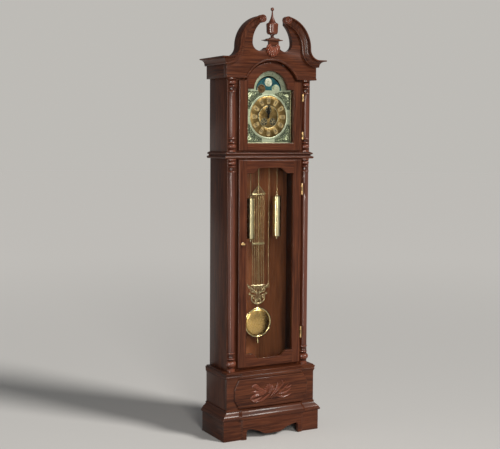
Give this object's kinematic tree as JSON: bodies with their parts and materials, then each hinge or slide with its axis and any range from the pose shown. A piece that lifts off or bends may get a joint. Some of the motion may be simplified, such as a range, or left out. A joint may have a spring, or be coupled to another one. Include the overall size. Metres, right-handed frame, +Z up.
{
  "type": "grandfather clock",
  "caption": "Tall wooden longcase clock with a broken-scroll hood, a moon-phase arch dial, glazed doors, brass chain-hung weights and a lyre pendulum.",
  "frame": {"origin": "middle of the footprint, on the floor under the plinth", "axes": "+Z up, the dial and doors face -Y, +X is to the right seen from the front"},
  "size_m": [0.56, 0.25, 2.05],
  "materials": {
    "case_wood": "satin lacquered cherry",
    "turned_wood": "satin lacquered turned and carved cherry",
    "back_wood": "matt stained board",
    "dial_brass": "brushed and lacquered",
    "chapter_brass": "antiqued with gilt cartouches",
    "moon_paint": "enamelled disc",
    "black_steel": "black painted steel",
    "steel": "ground steel",
    "movement_brass": "brushed",
    "gong_bronze": "drawn rod in a cast block",
    "hinge_brass": "satin",
    "clear_glass": "clear",
    "polished_brass": "polished and lacquered",
    "chain_brass": "drawn wire"
  },
  "bodies": {
    "case": {"plinth_boards": "case_wood", "plinth_moulding": "case_wood", "base_boards": "case_wood", "base_raised_panel": "case_wood", "base_carving": "turned_wood", "base_top_moulding": "case_wood", "back_panel": "back_wood", "trunk_sides": "case_wood", "trunk_front_frame": "case_wood", "trunk_columns": "turned_wood", "waist_moulding": "case_wood", "hood_carcass": "case_wood", "hood_front_frame": "case_wood", "hood_columns": "turned_wood", "tympanum": "case_wood", "swan_necks": "case_wood", "cornice_sides": "case_wood", "finial_pedestal": "case_wood", "finial": "turned_wood", "shell_carving": "turned_wood", "seat_board": "back_wood", "dial_plate": "dial_brass", "chapter_ring": "chapter_brass", "dial_spandrels": "dial_brass", "movement_frame": "movement_brass", "gong_rods": "gong_bronze", "case_hinges": "hinge_brass"},
    "trunk_door": {"trunk_door_frame": "case_wood", "trunk_door_glass": "clear_glass", "trunk_door_knob": "hinge_brass", "trunk_door_hinges": "hinge_brass"},
    "hood_door": {"hood_door_frame": "case_wood", "hood_door_glass": "clear_glass", "hood_door_hinges": "hinge_brass"},
    "pendulum": {"pendulum_rods": "polished_brass", "pendulum_ornaments": "polished_brass", "pendulum_bob": "polished_brass"},
    "rating_nut": {"rating_nut": "polished_brass"},
    "minute_arbor": {"minute_hand": "black_steel", "centre_wheel": "movement_brass"},
    "hour_pipe": {"hour_hand": "black_steel"},
    "minute_wheel": {"minute_wheel": "movement_brass"},
    "moon_disc": {"moon_disc": "moon_paint"},
    "second_wheel": {"second_wheel": "movement_brass"},
    "time_great_wheel": {"time_great_wheel": "movement_brass"},
    "third_wheel": {"third_wheel": "movement_brass"},
    "escape_wheel": {"escape_wheel": "movement_brass"},
    "anchor": {"anchor": "steel"},
    "time_sprocket": {"time_sprocket": "movement_brass"},
    "time_weight": {"time_weight": "polished_brass", "time_chain": "chain_brass"},
    "time_chain_ring": {"time_chain_ring": "chain_brass", "time_free_chain": "chain_brass"},
    "strike_sprocket": {"strike_sprocket": "movement_brass"},
    "strike_great_wheel": {"strike_great_wheel": "movement_brass"},
    "strike_hammer": {"strike_hammer": "movement_brass"},
    "strike_weight": {"strike_weight": "polished_brass", "strike_chain": "chain_brass"},
    "strike_chain_ring": {"strike_chain_ring": "chain_brass", "strike_free_chain": "chain_brass"}
  },
  "joints": [
    {"name": "trunk_door_hinge", "type": "hinge", "parent": "case", "child": "trunk_door", "pos_m": [0.1755, -0.08, 0.84], "axis": [0, 0, 1], "range_deg": [0, 110]},
    {"name": "hood_door_hinge", "type": "hinge", "parent": "case", "child": "hood_door", "pos_m": [0.1755, -0.08, 1.54], "axis": [0, 0, 1], "range_deg": [0, 110]},
    {"name": "pendulum_swing", "type": "hinge", "parent": "case", "child": "pendulum", "pos_m": [0, 0.042, 1.59711], "axis": [0, 1, 0], "range_deg": [-3, 3]},
    {"name": "anchor_rock", "type": "hinge", "parent": "case", "child": "anchor", "pos_m": [0, 0.022, 1.59711], "axis": [0, 1, 0], "range_deg": [-3, 3]},
    {"name": "rating_nut_turn", "type": "hinge", "parent": "pendulum", "child": "rating_nut", "pos_m": [0, 0.042, 0.438], "axis": [0, 0, 1], "continuous": true},
    {"name": "hands_turn", "type": "hinge", "parent": "case", "child": "minute_arbor", "pos_m": [0, -0.028, 1.539], "axis": [0, 1, 0], "continuous": true},
    {"name": "hour_turn", "type": "hinge", "parent": "case", "child": "hour_pipe", "pos_m": [0, -0.052, 1.539], "axis": [0, 1, 0], "continuous": true},
    {"name": "minute_wheel_turn", "type": "hinge", "parent": "case", "child": "minute_wheel", "pos_m": [0.009, -0.033, 1.52341], "axis": [0, 1, 0], "continuous": true},
    {"name": "moon_turn", "type": "hinge", "parent": "case", "child": "moon_disc", "pos_m": [0, -0.049, 1.658], "axis": [0, 1, 0], "continuous": true},
    {"name": "second_wheel_turn", "type": "hinge", "parent": "case", "child": "second_wheel", "pos_m": [0.0267, 0, 1.53057], "axis": [0, 1, 0], "continuous": true},
    {"name": "great_wheel_turn", "type": "hinge", "parent": "case", "child": "time_great_wheel", "pos_m": [0.0505, 0, 1.49596], "axis": [0, 1, 0], "continuous": true},
    {"name": "third_wheel_turn", "type": "hinge", "parent": "case", "child": "third_wheel", "pos_m": [-0.02042, 0, 1.55377], "axis": [0, 1, 0], "continuous": true},
    {"name": "escape_wheel_turn", "type": "hinge", "parent": "case", "child": "escape_wheel", "pos_m": [0, 0, 1.566], "axis": [0, 1, 0], "continuous": true},
    {"name": "strike_wheel_turn", "type": "hinge", "parent": "case", "child": "strike_great_wheel", "pos_m": [-0.0505, 0, 1.49596], "axis": [0, 1, 0], "continuous": true},
    {"name": "hammer_lift", "type": "hinge", "parent": "case", "child": "strike_hammer", "pos_m": [-0.07, 0.033, 1.605], "axis": [1, 0, 0], "range_deg": [0, 15]},
    {"name": "time_weight_drop", "type": "slide", "parent": "case", "child": "time_weight", "axis": [0, 0, 1], "range_m": [-0.6, 0.23], "deforming": ["time_chain"]},
    {"name": "time_ring_rise", "type": "slide", "parent": "case", "child": "time_chain_ring", "axis": [0, 0, 1], "range_m": [-0.23, 0.6], "deforming": ["time_free_chain"]},
    {"name": "time_sprocket_turn", "type": "hinge", "parent": "case", "child": "time_sprocket", "pos_m": [0.0505, 0, 1.49596], "axis": [0, 1, 0], "continuous": true},
    {"name": "strike_weight_drop", "type": "slide", "parent": "case", "child": "strike_weight", "axis": [0, 0, 1], "range_m": [-0.6, 0.23], "deforming": ["strike_chain"]},
    {"name": "strike_ring_rise", "type": "slide", "parent": "case", "child": "strike_chain_ring", "axis": [0, 0, 1], "range_m": [-0.23, 0.6], "deforming": ["strike_free_chain"]},
    {"name": "strike_sprocket_turn", "type": "hinge", "parent": "case", "child": "strike_sprocket", "pos_m": [-0.0505, 0, 1.49596], "axis": [0, 1, 0], "continuous": true}
  ],
  "couplings": [
    {"joint": "anchor_rock", "follows": "pendulum_swing", "ratio": 1},
    {"joint": "hour_turn", "follows": "hands_turn", "ratio": 0.083333},
    {"joint": "minute_wheel_turn", "follows": "hands_turn", "ratio": -0.33333},
    {"joint": "moon_turn", "follows": "hands_turn", "ratio": 0.0007055},
    {"joint": "second_wheel_turn", "follows": "hands_turn", "ratio": -0.25},
    {"joint": "great_wheel_turn", "follows": "hands_turn", "ratio": 0.041667},
    {"joint": "third_wheel_turn", "follows": "hands_turn", "ratio": -8},
    {"joint": "escape_wheel_turn", "follows": "hands_turn", "ratio": 60},
    {"joint": "time_ring_rise", "follows": "time_weight_drop", "ratio": -1},
    {"joint": "time_sprocket_turn", "follows": "time_weight_drop", "rad_per_m": -44.444},
    {"joint": "strike_ring_rise", "follows": "strike_weight_drop", "ratio": -1},
    {"joint": "strike_sprocket_turn", "follows": "strike_weight_drop", "rad_per_m": 44.444}
  ]
}
